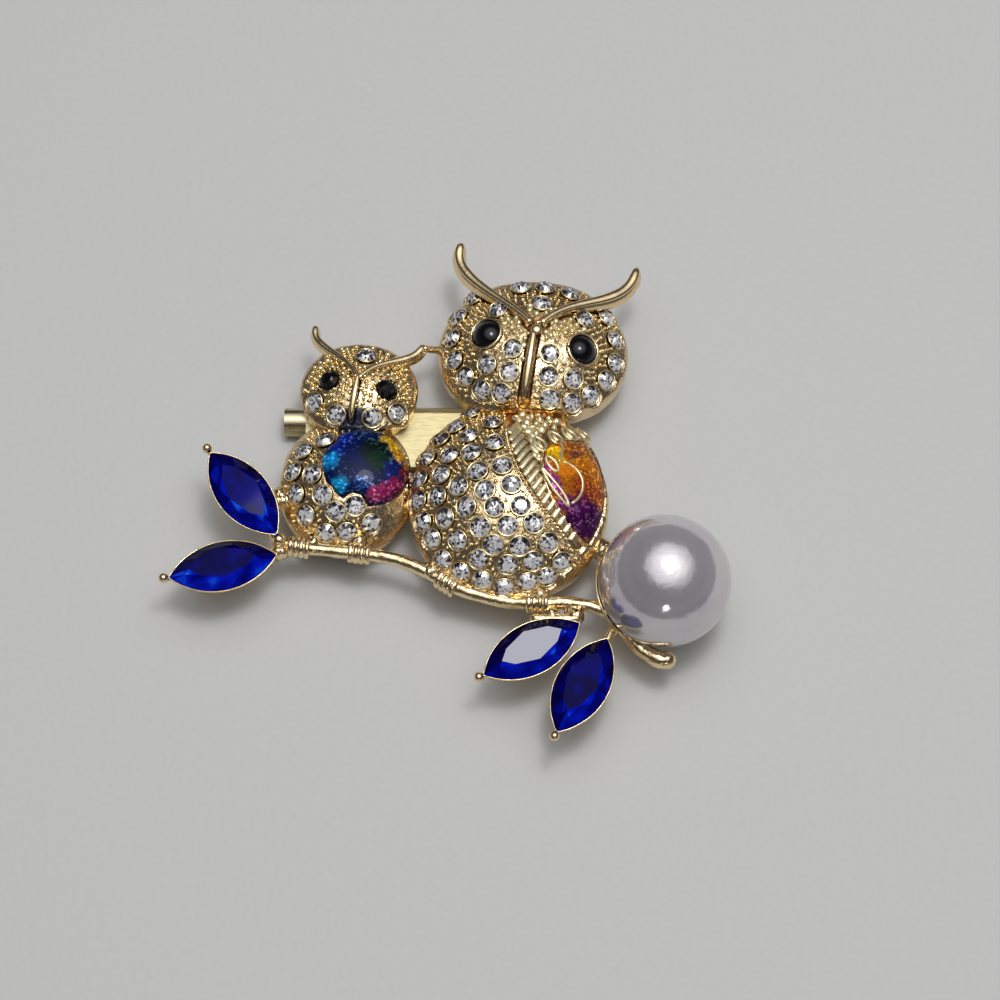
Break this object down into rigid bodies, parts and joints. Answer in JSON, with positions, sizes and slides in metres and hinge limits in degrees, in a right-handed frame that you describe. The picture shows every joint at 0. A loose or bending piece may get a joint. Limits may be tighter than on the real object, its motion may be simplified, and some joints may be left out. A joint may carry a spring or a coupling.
{
  "type": "figural animal brooch",
  "caption": "Gilt brooch of a large and a small owl on a branch, paved with clear stones, with enamelled wings, blue navette leaves and a pearl.",
  "frame": {"origin": "middle of the brooch's outline, on the surface that its back rests on", "axes": "+Z out of the owls' fronts, +Y towards their heads, +X towards the pearl"},
  "size_m": [0.0602, 0.0578, 0.0147],
  "materials": {
    "gold_casting": "polished",
    "brushed_plate": "brushed",
    "pin_metal": "polished",
    "pearl": "pearly",
    "blue_glass": "faceted",
    "black_glass": "polished",
    "clear_stones": "faceted",
    "amber_enamel": "glossy, amber to purple",
    "blue_enamel": "glossy, blue to green and magenta"
  },
  "bodies": {
    "root": {"frame": "gold_casting", "back_plate": "brushed_plate", "pin_clasp": "pin_metal", "pearl": "pearl", "leaf_stone_1": "blue_glass", "leaf_stone_2": "blue_glass", "leaf_stone_3": "blue_glass", "leaf_stone_4": "blue_glass", "large_eye_left": "black_glass", "large_eye_right": "black_glass", "small_eye_left": "black_glass", "small_eye_right": "black_glass", "large_body_stones": "clear_stones", "large_head_stones": "clear_stones", "small_body_stones": "clear_stones", "small_head_stones": "clear_stones", "large_wing_enamel": "amber_enamel", "small_wing_enamel": "blue_enamel"}
  },
  "joints": []
}
